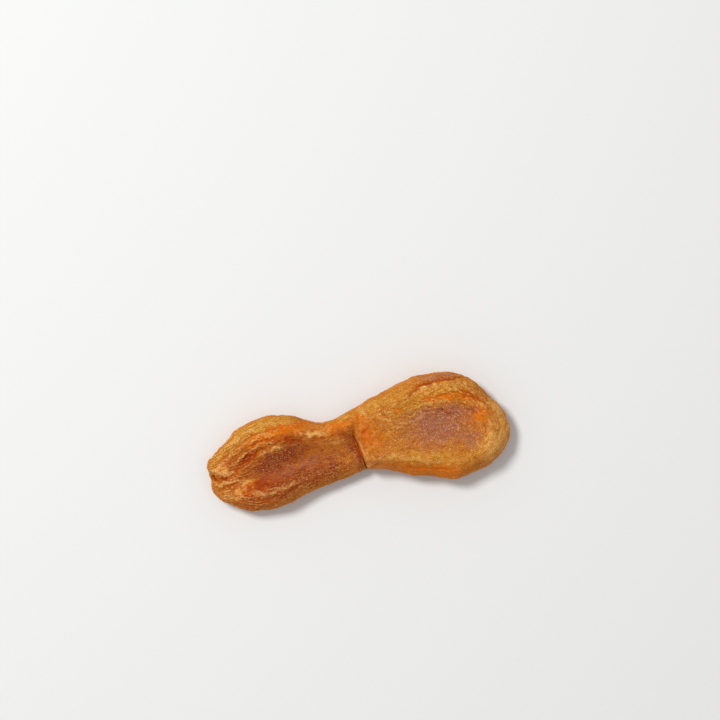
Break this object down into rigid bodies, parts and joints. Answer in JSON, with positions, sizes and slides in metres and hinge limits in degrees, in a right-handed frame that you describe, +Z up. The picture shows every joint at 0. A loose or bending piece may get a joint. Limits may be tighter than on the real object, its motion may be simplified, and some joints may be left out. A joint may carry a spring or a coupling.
{
  "type": "dried apricot",
  "caption": "Dried apricot, opened and stoned, its two wrinkled halves still joined by a strip of flesh and hollow underneath.",
  "frame": {"origin": "on the surface it rests on, under the middle of its outline", "axes": "+X from the narrow half to the broad half, +Y across it towards the joining strip, +Z up from the surface it rests on, domed side up"},
  "size_m": [0.07, 0.025, 0.0096],
  "materials": {
    "dried_flesh": "satin"
  },
  "bodies": {
    "root": {"dried_apricot": "dried_flesh"}
  },
  "joints": []
}
